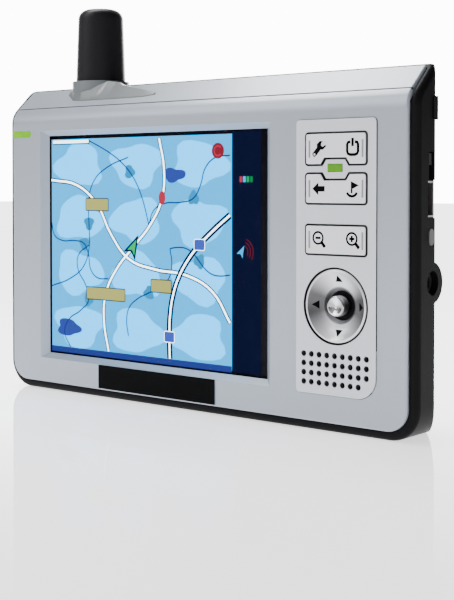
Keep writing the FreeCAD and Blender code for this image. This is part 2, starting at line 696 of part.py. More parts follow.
def gasketEnd(sign, reverse):
    # The band's end runs on up the side of the bevel.
    body = newBody("gasket_end")
    side = newSketch(body, "YZ_Plane")
    side.setExpression("AttachmentOffset.Base.z", f"{sign}dims.gasketSide")
    outline(side, [
        ("gasketFront", "gasketLow"), ("gasketFront", "gasketTurn"), ("gasketEndBack", "gasketEndTop"),
        ("gasketEndBack", "gasketEndLow"), ("gasketInner", "gasketBend"), ("gasketInner", "gasketLow"),
    ])
    solidFeature(body, "Pad", side, "gasketThick", reverse=reverse)
    return body


def panelSlab(name, inset, front, thick):
    # The key panel's outline, with its larger corner at the lower right.
    body = newBody(name)
    left, right, low, high = (f"panel{side}{inset}" for side in ("Left", "Right", "Bottom", "Top"))
    face = newSketch(body, "XZ_Plane", front)
    outline(face, [(left, low), (right, low), (right, high), (left, high)])
    slab = solidFeature(body, "Pad", face, thick, reverse=True)
    for across, up in ((right, low), (left, low), (left, high), (right, high)):
        radius = "panelLowCorner" if (across, up) == (right, low) else "panelCorner"
        corner = edges(slab.Shape, along(ALONG_Y, x=sizes[across], z=sizes[up]))
        slab = fillet(body, slab, corner, radius + inset)
    return body


def makeKeyPanel():
    body = panelSlab("key_panel_body", "", "panelFace", "panelThick")
    openings = [block("lensOpening")]
    for label in keys:
        slab, _ = keySlab(label + "_aperture", label, "", "apertureFront", "apertureDeep")
        openings.append(slab)
    holes = newSketch(body, "XZ_Plane", "panelFace")
    ring(holes, stickX, stickZ, "dishHole")
    last = (grille["rows"] - 1, grille["columns"] - 1)
    for row in range(grille["rows"]):
        for column in range(grille["columns"]):
            if (row, column) != last:
                across = grille["left"] + grille["pitch"] * column
                ring(holes, across, grille["top"] - grille["pitch"] * row, "grilleRadius")
    solidFeature(body, "Pocket", holes, "panelThrough")
    keep("key_panel", cut("key_panel", body, openings))


def keyOutline(prefix, notch, inset):
    # A rectangle with a tapered notch in the edge that faces the status light.
    left, right = "keyLeft" + inset, "keyRight" + inset
    low, high = prefix + "Low" + inset, prefix + "High" + inset
    wide, narrow = ("tabLeft" + inset, "tabRight" + inset), ("tabLeftIn" + inset, "tabRightIn" + inset)
    if notch == "bottom":
        tab = prefix + "Tab" + inset
        return [
            (left, low), (wide[0], low), (narrow[0], tab), (narrow[1], tab), (wide[1], low),
            (right, low), (right, high), (left, high),
        ]
    if notch == "top":
        tab = prefix + "Tab" + inset
        return [
            (left, low), (right, low), (right, high), (wide[1], high), (narrow[1], tab),
            (narrow[0], tab), (wide[0], high), (left, high),
        ]
    return [(left, low), (right, low), (right, high), (left, high)]


def keySlab(name, label, inset, front, thick):
    # A plate with a key's outline and rounded outer corners.
    prefix, _, _, notch = keys[label]
    body = newBody(name)
    face = newSketch(body, "XZ_Plane", front)
    outline(face, keyOutline(prefix, notch, inset))
    slab = solidFeature(body, "Pad", face, thick, reverse=True)
    places = []
    for across in ("keyLeft" + inset, "keyRight" + inset):
        for up in (prefix + "Low" + inset, prefix + "High" + inset):
            places.append(along(ALONG_Y, x=sizes[across], z=sizes[up]))
    corners = edges(slab.Shape, lambda edge: any(test(edge) for test in places))
    return body, fillet(body, slab, corners, "keyCorner" + inset)


def makeKey(label):
    # A rocker key: a plate in its aperture, a wider flange behind the panel, and a rib to rock on.
    _, low, high, notch = keys[label]
    body, slab = keySlab(label + "_body", label, "Key", "keyFace", "keyThick")
    ridge = edges(slab.Shape, lambda edge: edge.BoundBox.YMax < sizes["keyFace"] + 0.01)
    fillet(body, slab, ridge, "keyRound")
    middle = 0.5 * (low + high)
    shift = {"bottom": 0.7, "top": -0.7, None: 0.0}[notch]
    rib = rod("rib", "Z", up=str(middle + shift - 0.5 * rods["rib"][4]))
    tall = high - low - 1.4
    ticks = [keyBlock(label + "_tick", across - 0.25, 0.5, -1.0, 0.65, middle - 1.9, 3.8)
             for across in keyEnds["tick"]]
    flange = [keyBlock(label + "_flange", across, 4.0, 1.4, 0.6, middle - tall / 2, tall)
              for across in keyEnds["flange"]]
    solid = fuse(label + "_solid", [body, rib] + flange)
    keep(label, cut(label, solid, ticks))


def keyBlock(name, left, wide, depth, deep, low, tall):
    item = doc.addObject("Part::Box", name)
    item.Length, item.Width, item.Height = wide, deep, tall
    item.Placement.Base = FreeCAD.Vector(left, y(depth), low)
    return item


def turned(label, points, across, up, axis=ALONG_Y):
    # A solid of revolution about a line through (across, up), from points of radius and length.
    wire = Part.makePolygon([FreeCAD.Vector(*p) for p in points + points[:1]])
    solid = Part.Face(wire).revolve(FreeCAD.Vector(), axis, 360)
    item = doc.addObject("Part::Feature", label)
    item.Shape = solid
    item.Placement = FreeCAD.Placement(FreeCAD.Vector(across, up[0], up[1]), FreeCAD.Rotation())
    return item


def profile(points):
    return [(radius, y(depth), 0) for radius, depth in points]


def makeDish():
    # A shallow concave ring round the stick, held behind the panel by its flange.
    slope = []
    for step in range(dishSlope["steps"] + 1):
        share = step / dishSlope["steps"]
        radius = dishSlope["from"] + (dishSlope["to"] - dishSlope["from"]) * share
        slope.append((radius, dishSlope["low"] - dishSlope["rise"] * share ** 2))
    points = profile(dishFoot + tuple(slope) + dishFlange)
    keep("nav_dish", turned("nav_dish", points, stickX, (0, stickZ)))


def makeStick():
    # The knob tilts on two pairs of pins, one through each ring of a small gimbal.
    cap = turned("stick_knob", profile(knob), stickX, (0, stickZ))
    keep("stick_cap", fuse("stick_cap", [cap, rod("innerPin", "Z")]))
    ringed = fuse("gimbal_solid", [rod("gimbal"), rod("outerPin", "X")])
    keep("stick_gimbal", cut("stick_gimbal", ringed, [rod("gimbalHole"), rod("innerPinHole", "Z")]))
    holes = [rod("carrierHole"), rod("outerPinHole", "X")]
    keep("stick_carrier", cut("stick_carrier", rod("carrier"), holes))
    keep("stick_boot", cut("stick_boot", rod("boot"), [rod("bootHole")]))
    keep("nav_switch", cut("nav_switch", block("navSwitch"), [rod("stickWell")]))


def makeKeyInside():
    mat = fuse("key_mat_sheet", [block("mat")] + keyRods("nub"))
    keep("key_mat", cut("key_mat", mat, [block("matLight")]))
    keep("key_domes", fuse("key_domes", keyRods("dome")))
    keep("key_board", block("keyBoard"))
    keep("status_lens", block("statusLens"))
    keep("status_led", block("statusLed"))
    keep("side_light_pipe", fuse("side_light_pipe", [
        block("lightBar"), block("lightLeg"), block("lightStem"), rod("lightEnd")]))
    keep("side_led", block("sideLed"))


def keyRods(name):
    # One rod under each end of each rocker key.
    items = []
    for _, low, high, _ in keys.values():
        for across in keyEnds["nub"]:
            items.append(rod(name, across=str(across), up=str(round(0.5 * (low + high), 3))))
    return items


def makeDisplay():
    keep("glass_seal", cut("glass_seal", block("glassSeal"), [block("glassSealHole")]))
    keep("window_glass", block("glass"))
    keep("lcd_panel", block("lcd"))
    keep("lcd_backlight", block("backlight"))
    spaces = [block("bracketSeat"), block("bracketBack"), block("bracketNotch")]
    keep("lcd_bracket", cut("lcd_bracket", block("bracket"), spaces))
    keep("lcd_flex", fuse("lcd_flex", [block("flexTop"), block("flexBottom"), block("flexRise")]))
    keep("flex_connector", block("flexConnector"))


def makeElectronics():
    notches = [block("jackNotch")]
    wide, tall = boardNotches["wide"], boardNotches["tall"]
    for across in boardNotches["across"]:
        for low in boardNotches["up"]:
            notches.append(keyBlock("board_notch", across, wide, 8.0, 3.0, low, tall))
    keep("main_board", cut("main_board", block("board"), notches + boardRods("boardHole")))
    keep("processor", block("processor"))
    second = block("memoryChip")
    second.setExpression("Placement.Base.z", "dims.memoryChipLow - 10")
    keep("memory_chips", fuse("memory_chips", [block("memoryChip"), second]))
    keep("gps_shield", block("gpsShield"))
    keep("antenna_connector", block("antennaConnector"))
    keep("battery_cell", block("battery"))
    keep("battery_pad", block("batteryPad"))
    keep("battery_flex", fuse("battery_flex", [block("batteryTab"), block("batteryRun")]))
    keep("speaker_frame", cut("speaker_frame", block("speakerFrame"), [block("speakerSeat")]))
    keep("speaker_cloth", block("speakerCloth"))
    across, _, up = rods["magnet"][:3]
    keep("speaker_cone", turned("speaker_cone", profile(cone), across, (0, up)))
    keep("speaker_magnet", rod("magnet"))


def makeSide():
    keep("usb_socket", fuse("usb_socket", [
        cut("usb_shell", block("usbShell"), [block("usbMouth")]), block("usbTongue")]))
    keep("audio_jack", cut("audio_jack", fuse("jack_solid", [
        block("jackBody"), rod("jackNose", "X")]), [rod("jackBore", "X")]))
    keep("side_switch", block("sideSwitch"))
    flange = [block("buttonFlange")]
    keep("side_button", fuse("side_button", pill("buttonEnd") + flange))
    keep("slide_switch", block("slideBody"))
    keep("slide_knob", block("slideKnob"))
    keep("card_socket", cut("card_socket", block("cardSocket"), [block("cardSpace")]))
    keep("memory_card", block("card"))


def makeAntenna():
    # The pedestal is a collar with a fairing that sweeps down the bevel, resting on both shells.
    body = newBody("pedestal_fairing")
    sections = []
    for name in fairing:
        section = newSketch(body, "YZ_Plane", name)
        outline(section, [
            (name + "Toe", name + "Foot"), (name + "Toe", name + "Edge"),
            (name + "Crest", name + "Peak"), (name + "Heel", name + "Peak"),
            (name + "Heel", name + "Foot"),
        ])
        sections.append(section)
    doc.recompute()
    loft = body.newObject("PartDesign::AdditiveLoft", "fairing_loft")
    loft.Profile = sections[0]
    loft.Sections = sections[1:]
    loft.Ruled = True
    doc.recompute()
    shoulder = newBody("shoulder_tool")
    under = newSketch(shoulder, "YZ_Plane")
    outline(under, [
        ("shoulderAhead", "shoulderLow"), ("shoulderAhead", "shoulderAheadTop"),
        ("silverBack", "silverTop"), ("silverBack", "shoulderStep"),
        ("shoulderFront", "shoulderTop"), ("shoulderBehind", "shoulderTop"),
        ("shoulderBehind", "shoulderLow"),
    ])
    solidFeature(shoulder, "Pad", under, "caseWidth", middle=True)
    collar = rod("collar", "Z")
    solid = fuse("pedestal_solid", [body, collar])
    keep("antenna_pedestal", cut("antenna_pedestal", solid, [shoulder, rod("collarBore", "Z")]))
    cap = turned("antenna_cap", capPoints(), antennaX, (y(antennaDepth), 0), axis=ALONG_Z)
    keep("antenna_cap", cap)
    keep("antenna_element", rod("element", "Z"))
    keep("antenna_feed", rod("feed", "Z"))


def capPoints():
    # A tapered stub with a rounded top and a hollow for the aerial element.
    base, tip, top, turn = (sizes[k] for k in ("capRadius", "capTipRadius", "capTop", "capRound"))
    low = sizes["collarTop"]
    points = [(5.0, 0, low), (base, 0, low), (tip, 0, top - turn)]
    for step in range(1, 9):
        angle = math.radians(90 * step / 8)
        points.append((tip - turn + turn * math.cos(angle), 0, top - turn + turn * math.sin(angle)))
    return points + [(0, 0, top), (0, 0, top - 1.6), (4.6, 0, top - 1.6), (5.0, 0, top - 3.0)]


def makeFasteners():
    keep("case_screws", fuse("case_screws", mirroredRods("caseShank") + mirroredRods("caseHead")))
    keep("board_screws", fuse("board_screws", boardRods("boardShank") + boardRods("boardHead")))
    keep("threaded_inserts", cut(
        "threaded_inserts", fuse("inserts", mirroredRods("insert")), mirroredRods("insertBore")))


def makeTrim():
    keep("badge_plate", block("badge"))
    keep("rear_label", block("label"))


makeFrontShell()
makeRearShell()
makeSeamGasket()
makeKeyPanel()
for label in keys:
    makeKey(label)
makeDish()
makeStick()
makeKeyInside()
makeDisplay()
makeElectronics()
makeSide()
makeAntenna()
makeFasteners()
makeTrim()
doc.recompute()

for item in doc.Objects:
    if "Invalid" in item.State or "Error" in item.State:
        raise RuntimeError(f"{item.Label} failed: {item.State}")
os.makedirs("parts", exist_ok=True)
for label, item in parts.items():
    shape = item.Shape
    if shape.isNull() or not shape.isValid() or not shape.Solids:
        raise RuntimeError(f"{label} has no valid solid")
    shape.exportStep(f"parts/{label}.step")
    box = shape.BoundBox
    print(f"{label}: {len(shape.Solids)} solid(s), {shape.Volume:.1f} mm3,",
          f"x {box.XMin:.2f} {box.XMax:.2f} y {box.YMin:.2f} {box.YMax:.2f}",
          f"z {box.ZMin:.2f} {box.ZMax:.2f}")
print(len(parts), "nodes")
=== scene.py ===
import math
import bpy
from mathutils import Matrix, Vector


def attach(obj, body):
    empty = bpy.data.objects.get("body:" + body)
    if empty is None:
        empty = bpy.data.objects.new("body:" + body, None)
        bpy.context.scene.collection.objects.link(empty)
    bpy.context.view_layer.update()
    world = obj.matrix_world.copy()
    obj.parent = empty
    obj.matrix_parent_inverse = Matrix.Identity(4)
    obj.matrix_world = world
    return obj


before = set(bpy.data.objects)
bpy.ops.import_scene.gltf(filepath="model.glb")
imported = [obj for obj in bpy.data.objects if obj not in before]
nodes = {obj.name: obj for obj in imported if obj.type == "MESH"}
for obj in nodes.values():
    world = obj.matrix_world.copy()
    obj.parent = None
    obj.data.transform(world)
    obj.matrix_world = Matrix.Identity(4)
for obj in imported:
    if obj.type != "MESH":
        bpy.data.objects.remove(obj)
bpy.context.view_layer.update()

mm = 0.001
for obj in bpy.context.selected_objects:
    obj.select_set(False)

viewing = {
    "cameraX": 197.9, "cameraY": -235.8, "cameraZ": 54.4,
    "turn": 39.52, "downward": 1.47, "lens": 74.8, "shiftUp": -0.1385,
}
studio = {
    "floorSize": 6.0, "floorTone": (0.88, 0.87, 0.885), "floorGlow": 1.7,
    # the floor's mirror: how strong it is, how blurred, and where it fades (mm from the middle)
    "mirror": 0.17, "floorRough": 0.02, "fadeAcross": 0.636, "fadeAlong": 0.771,
    "fadeStart": 20.0, "fadeLength": 150.0,
    # the sky: its plain tone, the white wall behind the object and the dark flag on the right
    "skyTone": (0.36, 0.37, 0.39), "wallTone": (13.0, 13.0, 13.0), "flagTone": (0.02, 0.02, 0.025),
    "wallTowards": (-0.636, 0.771, 0.02), "wallFrom": 0.80, "wallTo": 0.93,
    "flagTowards": (0.88, 0.45, 0.05), "flagFrom": 0.40, "flagTo": 0.72,
    # name: place, target, width, depth, power, spread in degrees
    "lamps": {
        "keyLamp": ((-0.26, -0.34, 0.34), (0.0, 0.0, 0.04), 0.3, 0.3, 1.1, 180),
        "topLamp": ((-0.16, 0.02, 0.36), (-0.01, -0.006, 0.08), 0.30, 0.10, 0.75, 130),
    },
}


def makeCamera():
    lens = bpy.data.cameras.new("camera")
    camera = bpy.data.objects.new("camera", lens)
    bpy.context.scene.collection.objects.link(camera)
    camera.location = (viewing["cameraX"] * mm, viewing["cameraY"] * mm, viewing["cameraZ"] * mm)
    camera.rotation_euler = (math.radians(90 - viewing["downward"]), 0, math.radians(viewing["turn"]))
    lens.lens = viewing["lens"]
    lens.sensor_width = 36
    lens.shift_y = viewing["shiftUp"]
    lens.clip_start = 0.01
    bpy.context.scene.camera = camera
    print("camera placed")


class Shade:
    # a shader socket that takes plain arithmetic
    def __init__(self, socket):
        self.socket = socket

    def work(self, operation, *terms, clamp=False):
        node = self.socket.id_data.nodes.new("ShaderNodeMath")
        node.operation = operation
        node.use_clamp = clamp
        for place, term in zip(node.inputs, terms):
            feed(place, term)
        return Shade(node.outputs[0])

    def __add__(self, other):
        return self.work("ADD", self, other)

    def __radd__(self, other):
        return self.work("ADD", other, self)

    def __sub__(self, other):
        return self.work("SUBTRACT", self, other)

    def __rsub__(self, other):
        return self.work("SUBTRACT", other, self)

    def __mul__(self, other):
        return self.work("MULTIPLY", self, other)

    def __rmul__(self, other):
        return self.work("MULTIPLY", other, self)

    def __truediv__(self, other):
        return self.work("DIVIDE", self, other)

    def __pow__(self, other):
        return self.work("POWER", self, other)

    def __gt__(self, other):
        return self.work("GREATER_THAN", self, other)

    def __lt__(self, other):
        return self.work("LESS_THAN", self, other)

    def __abs__(self):
        return self.work("ABSOLUTE", self)

    def clamp(self):
        return self.work("ADD", self, 0.0, clamp=True)


def feed(socket, term):
    if isinstance(term, Shade):
        socket.id_data.links.new(term.socket, socket)
    else:
        socket.default_value = term


class Finish:
    # one material: a Principled shader and the nodes that feed it
    def __init__(self, name, plain):
        self.material = bpy.data.materials.new(name)
        self.material.use_nodes = True
        self.tree = self.material.node_tree
        self.shader = self.tree.nodes["Principled BSDF"]
        for socket, value in plain.items():
            self.set(socket, value)

    def set(self, socket, term):
        feed(self.shader.inputs[socket], term)

    def node(self, kind, settings, inputs, output=0):
        node = self.tree.nodes.new("ShaderNode" + kind)
        for name, value in settings.items():
            setattr(node, name, value)
        for name, value in inputs.items():
            feed(node.inputs[name], value)
        return Shade(node.outputs[output])

    def place(self):
        return self.node("TexCoord", {}, {}, "Object")

    def stretched(self, scale):
        return self.node("Mapping", {}, {"Vector": self.place(), "Scale": scale})

    def noise(self, scale, detail=2.0, stretch=None):
        where = self.stretched(stretch) if stretch else self.place()
        return self.node("TexNoise", {}, {"Vector": where, "Scale": scale, "Detail": detail})

    def cells(self, scale, feature="F1", stretch=None):
        where = self.stretched(stretch) if stretch else self.place()
        return self.node("TexVoronoi", {"feature": feature}, {"Vector": where, "Scale": scale})

    def blend(self, share, first, second):
        mix = self.tree.nodes.new("ShaderNodeMix")
        mix.data_type = "RGBA"
        feed(mix.inputs[0], share)
        feed(mix.inputs[6], first)
        feed(mix.inputs[7], second)
        return Shade(mix.outputs[2])

    def bump(self, height, strength, distance):
        inputs = {"Height": height, "Strength": strength, "Distance": distance}
        self.set("Normal", self.node("Bump", {}, inputs))

    def axis(self, name):
        # X, Y or Z of the point, in millimetres
        return self.node("SeparateXYZ", {}, {"Vector": self.place()}, name) * 1000.0

    def within(self, name, low, high):
        value = self.axis(name)
        return (value > low) * (value < high)


def shade(colour, factor=1.0):
    return (colour[0] * factor, colour[1] * factor, colour[2] * factor, 1.0)


def makeFloor():
    # white and glossy; its mirror image of the object fades towards the camera
    bpy.ops.mesh.primitive_plane_add(size=studio["floorSize"], location=(0, 0, 0))
    floor = bpy.context.object
    floor.name = "floor"
    finish = Finish("studioFloor", {"Specular IOR Level": 0.0, "Emission Strength": studio["floorGlow"]})
    mottle = finish.noise(5.0)
    tone = studio["floorTone"]
    finish.set("Base Color", finish.blend(mottle, shade(tone, 0.98), shade(tone)))
    finish.set("Emission Color", finish.blend(mottle, shade(tone, 0.98), shade(tone)))
    finish.set("Roughness", 0.6 + mottle * 0.05)
    ahead = finish.axis("X") * studio["fadeAcross"] - finish.axis("Y") * studio["fadeAlong"]
    share = (1.0 - (ahead - studio["fadeStart"]) / studio["fadeLength"]).clamp()
    tree = finish.material.node_tree
    mirror = tree.nodes.new("ShaderNodeBsdfGlossy")
    mirror.inputs["Roughness"].default_value = studio["floorRough"]
    mirror.inputs["Color"].default_value = (1, 1, 1, 1)
    mix = tree.nodes.new("ShaderNodeMixShader")
    feed(mix.inputs[0], share * share * studio["mirror"])
    tree.links.new(tree.nodes["Principled BSDF"].outputs[0], mix.inputs[1])
    tree.links.new(mirror.outputs[0], mix.inputs[2])
    tree.links.new(mix.outputs[0], tree.nodes["Material Output"].inputs["Surface"])
    floor.data.materials.append(finish.material)
    floor.select_set(False)


def makeSky():
    world = bpy.data.worlds.new("studio")
    bpy.context.scene.world = world
    world.use_nodes = True
    tree = world.node_tree
    tone = shade(studio["skyTone"])
    for name in ("wall", "flag"):
        towards = tree.nodes.new("ShaderNodeVectorMath")
        towards.operation = "DOT_PRODUCT"
        tree.links.new(tree.nodes.new("ShaderNodeTexCoord").outputs["Generated"], towards.inputs[0])
        towards.inputs[1].default_value = Vector(studio[name + "Towards"]).normalized()
        start, end = studio[name + "From"], studio[name + "To"]
        share = ((Shade(towards.outputs["Value"]) - start) / (end - start)).clamp()
        mix = tree.nodes.new("ShaderNodeMix")
        mix.data_type = "RGBA"
        feed(mix.inputs[0], share * share * (3.0 - 2.0 * share))
        feed(mix.inputs[6], tone)
        feed(mix.inputs[7], shade(studio[name + "Tone"]))
        tone = Shade(mix.outputs[2])
    feed(tree.nodes["Background"].inputs["Color"], tone)


def makeLamps():
    for name, (place, target, wide, deep, power, spread) in studio["lamps"].items():
        lamp = bpy.data.lights.new(name, "AREA")
        lamp.shape = "RECTANGLE"
        lamp.size = wide
        lamp.size_y = deep
        lamp.energy = power
        lamp.spread = math.radians(spread)
        obj = bpy.data.objects.new(name, lamp)
        bpy.context.scene.collection.objects.link(obj)
        obj.location = place
        aim = Vector(target) - Vector(place)
        obj.rotation_euler = aim.to_track_quat("-Z", "Y").to_euler()
    print("floor, sky and lamps placed")


makeCamera()
makeFloor()
makeSky()
makeLamps()


def wear(finish, *names):
    # puts a finish on CAD pieces
    for name in names:
        mesh = nodes[name].data
        mesh.materials.clear()
        mesh.materials.append(finish.material)


black = (0.006, 0.006, 0.007)
paints = {
    # colour, metallic, roughness, coat, flake contrast
    "shellSilver": ((0.36, 0.395, 0.445), 0.25, 0.30, 0.25, 0.05),
    "panelSilver": ((0.66, 0.67, 0.71), 0.15, 0.34, 0.15, 0.04),
    "keySilver": ((0.82, 0.82, 0.85), 0.10, 0.36, 0.15, 0.03),
    # the fairing's paint is a darker copy of the silver: painted shade for its steep face
    "fairingShadedSilver": ((0.15, 0.165, 0.17), 0.25, 0.34, 0.2, 0.04),
}


def silverPaint(name, paintedShade=None):
    # paintedShade is a function that gives the share of painted black shade, as in the gaps round the keys
    colour, metallic, rough, coat, contrast = paints[name]
    finish = Finish(name, {"Metallic": metallic, "Coat Weight": coat, "Coat Roughness": 0.15})
    flakes = finish.noise(9000.0, detail=1.0)
    cloud = finish.noise(45.0, detail=3.0)
    share = flakes * 0.7 + cloud * 0.3
    tone = finish.blend(share, shade(colour, 1 - contrast), shade(colour, 1 + contrast))
    if paintedShade:
        # painted shade: black blended into the colour where the given function marks shaded walls
        tone = finish.blend(paintedShade(finish), tone, shade(black))
    finish.set("Base Color", tone)
    finish.set("Roughness", rough + cloud * 0.05)
    finish.bump(finish.noise(2600.0), 0.08, 0.00004)
    return finish


paintedShadeAt = {
    # where painted shade lies on the walls, in mm: from and to, or the depth at which a shaded wall starts
    "recessX": (33.0, 54.9), "recessZ": (8.0, 69.1), "recessWall": -11.9,
    "foldFoot": 72.99, "foldSlope": 0.9131, "foldHalf": 0.08, "foldY": (-10.35, -9.7), "foldZ": (74.3, 75.1),
    "gapsZ": (19.0, 68.5), "gapsWall": -12.16,
    "grilleX": (34.6, 53.2), "grilleZ": (9.5, 18.5), "grilleWall": -12.24,
    "keyWall": -12.33, "tickWall": -12.48,
}


def frontPaintedShade(finish):
    # painted shade: black on the walls of the recess round the key panel, and a dark line painted into the
    # fold at the top of the front
    recess = finish.within("X", *paintedShadeAt["recessX"]) * finish.within("Z", *paintedShadeAt["recessZ"])
    recess = recess * (finish.axis("Y") > paintedShadeAt["recessWall"])
    fold = abs(finish.axis("Z") - paintedShadeAt["foldFoot"] - paintedShadeAt["foldSlope"] * (finish.axis("Y") + 12.0))
    groove = (fold > paintedShadeAt["foldHalf"]) * finish.within("Y", *paintedShadeAt["foldY"])
    groove = groove * finish.within("Z", *paintedShadeAt["foldZ"])
    return (recess + groove * 0.85).clamp()


def panelPaintedShade(finish):
    # painted shade: black on the walls of the key openings, and less strongly on those of the grille's holes
    gaps = finish.within("Z", *paintedShadeAt["gapsZ"]) * (finish.axis("Y") > paintedShadeAt["gapsWall"])
    holes = finish.within("Z", *paintedShadeAt["grilleZ"]) * finish.within("X", *paintedShadeAt["grilleX"])
    holes = holes * (finish.axis("Y") > paintedShadeAt["grilleWall"])
    return (gaps + holes * 0.85).clamp()


def keyPaintedShade(finish):
    # painted shade: black on the wall below the face, and grey on the two tick marks sunk into it
    depth = finish.axis("Y")
    return ((depth > paintedShadeAt["keyWall"]) + (depth > paintedShadeAt["tickWall"]) * 0.55).clamp()


wear(silverPaint("shellSilver", frontPaintedShade), "front_shell")
wear(silverPaint("panelSilver", panelPaintedShade), "key_panel")
wear(silverPaint("keySilver", keyPaintedShade), "key_settings_power", "key_back_flag", "key_zoom")
wear(silverPaint("fairingShadedSilver"), "antenna_pedestal")


plastics = {
    # colour, roughness, grain scale, grain depth, specular level
    "caseDark": ((0.0055, 0.0055, 0.006), 0.36, 2200.0, 0.00005, 0.06),
    "antennaDark": ((0.010, 0.009, 0.011), 0.34, 1700.0, 0.00005, 0.16),
    "chipBlack": ((0.018, 0.018, 0.019), 0.45, 1500.0, 0.00003, 0.4),
    "whitePlastic": ((0.62, 0.61, 0.57), 0.40, 900.0, 0.00002, 0.5),
    "buttonGrey": ((0.11, 0.105, 0.105), 0.42, 1200.0, 0.00003, 0.5),
    "cardBlue": ((0.02, 0.05, 0.16), 0.38, 1400.0, 0.00003, 0.5),
    "rubberBlack": ((0.004, 0.004, 0.005), 0.65, 1900.0, 0.00005, 0.1),
    "rubberGrey": ((0.15, 0.15, 0.16), 0.62, 1300.0, 0.00004, 0.3),
    "paperCone": ((0.05, 0.05, 0.052), 0.70, 2600.0, 0.00006, 0.3),
    "ceramicWhite": ((0.60, 0.58, 0.52), 0.25, 500.0, 0.00001, 0.5),
}


def plastic(name):
    colour, rough, grain, depth, specular = plastics[name]
    finish = Finish(name, {"Specular IOR Level": specular})
    bumps = finish.noise(grain)
    cloud = finish.noise(60.0, detail=3.0)
    finish.set("Base Color", finish.blend(cloud, shade(colour, 0.85), shade(colour, 1.15)))
    finish.set("Roughness", rough + bumps * 0.08)
    finish.bump(bumps, 0.5, depth)
    return finish


wear(plastic("caseDark"), "rear_shell")
wear(plastic("antennaDark"), "antenna_cap")
wear(plastic("chipBlack"), "audio_jack", "side_switch", "slide_knob", "speaker_frame", "processor",
     "memory_chips")
wear(plastic("whitePlastic"), "lcd_backlight", "flex_connector")
wear(plastic("buttonGrey"), "side_button")
wear(plastic("cardBlue"), "memory_card")
wear(plastic("rubberBlack"), "seam_gasket", "stick_boot", "glass_seal", "antenna_feed")
wear(plastic("rubberGrey"), "key_mat", "battery_pad")
wear(plastic("paperCone"), "speaker_cone")
wear(plastic("ceramicWhite"), "antenna_element")


metals = {
    # colour, roughness, brushing stretch and contrast
    "sheetSteel": ((0.50, 0.50, 0.49), 0.34, (30.0, 900.0, 900.0), 0.10),
    "brass": ((0.60, 0.42, 0.16), 0.30, (700.0, 60.0, 700.0), 0.08),
    "screwSteel": ((0.22, 0.22, 0.23), 0.36, (600.0, 600.0, 600.0), 0.12),
    "batteryFoil": ((0.60, 0.60, 0.59), 0.32, (90.0, 90.0, 90.0), 0.10),
}


def metal(name):
    colour, rough, stretch, contrast = metals[name]
    finish = Finish(name, {"Metallic": 1.0})
    lines = finish.noise(1.0, detail=3.0, stretch=stretch)
    stain = finish.noise(80.0, detail=3.0)
    finish.set("Base Color", finish.blend(lines, shade(colour, 1 - contrast), shade(colour, 1 + contrast)))
    finish.set("Roughness", rough + stain * 0.10 - 0.05)
    finish.bump(lines, 0.12, 0.00002)
    return finish


wear(metal("sheetSteel"), "stick_gimbal", "stick_carrier", "nav_switch", "key_domes", "lcd_bracket",
     "gps_shield", "speaker_magnet", "usb_socket", "slide_switch", "card_socket")
wear(metal("brass"), "antenna_connector", "threaded_inserts")
wear(metal("screwSteel"), "case_screws", "board_screws")
wear(metal("batteryFoil"), "battery_cell")

turnedMetal = {
    # middle of the stick, then colour, roughness, metallic, how far the painted sheen swings and its turn
    "x": 43.98, "z": 28.0,
    "dish": ((0.66, 0.66, 0.675), 0.30, 0.35, 0.62, -1.45),
    "knob": ((0.92, 0.92, 0.93), 0.12, 1.0, 0.30, -1.2),
}


def spunMetal(name, paintedShade=None):
    # fine rings round the stick's middle, with painted reflection: the broad light and dark sectors that a
    # spun face shows are painted into the colour
    colour, rough, metallic, swing, turned = turnedMetal[name]
    finish = Finish(name + "Metal", {"Metallic": metallic})
    across = finish.axis("X") - turnedMetal["x"]
    up = finish.axis("Z") - turnedMetal["z"]
    radius = (across * across + up * up) ** 0.5
    rings = finish.node("TexNoise", {"noise_dimensions": "1D"}, {"W": radius, "Scale": 9.0})
    # painted reflection: light and dark sectors by angle round the stick, mixed with the real fine rings
    turn = across.work("ARCTAN2", up, across)
    paintedSheen = (turn * 2.0 + turned).work("SINE", turn * 2.0 + turned)
    share = (0.5 + paintedSheen * swing + rings * 0.16 - 0.08).clamp()
    tone = finish.blend(share, shade(colour, 0.14), shade(colour, 1.2))
    if paintedShade:
        # painted highlight: a lighter ring on the rounded rim, where it catches the light
        paintedRimHighlight = (radius > 7.45) * (radius < 7.9)
        tone = finish.blend(paintedRimHighlight, tone, shade(colour, 1.25))
        # painted shade: black where the given function marks shaded walls
        tone = finish.blend(paintedShade(finish, radius), tone, shade(black))
    finish.set("Base Color", tone)
    finish.set("Roughness", rough + rings * 0.08)
    finish.bump(rings, 0.10, 0.00003)
    return finish


def dishPaintedShade(finish, radius):
    # painted shade: black on the outer wall in the gap and on the step down to the rubber boot
    outer = (radius > 7.9) * (finish.axis("Y") > -12.0)
    inner = (radius < 3.3) + (radius < 4.2) * 0.55
    return (outer + inner).clamp()


wear(spunMetal("dish", dishPaintedShade), "nav_dish")
wear(spunMetal("knob"), "stick_cap")


lights = {
    # colour, glow, transmission
    "lensGreen": ((0.08, 0.26, 0.012), 0.25, 0.0), "lightGreen": ((0.15, 0.42, 0.006), 0.25, 0.0),
    "ledResin": ((0.70, 0.80, 0.45), 0.5, 0.2),
}


def litPlastic(name):
    colour, glow, through = lights[name]
    plain = {"Roughness": 0.22, "Transmission Weight": through, "Emission Strength": glow,
             "Specular IOR Level": 0.2}
    finish = Finish(name, plain)
    cloud = finish.noise(700.0, detail=2.0)
    tone = finish.blend(cloud, shade(colour, 0.75), shade(colour, 1.2))
    finish.set("Base Color", tone)
    finish.set("Emission Color", tone)
    finish.bump(cloud, 0.15, 0.00004)
    return finish


wear(litPlastic("lensGreen"), "status_lens")
wear(litPlastic("lightGreen"), "side_light_pipe")
wear(litPlastic("ledResin"), "status_led", "side_led")


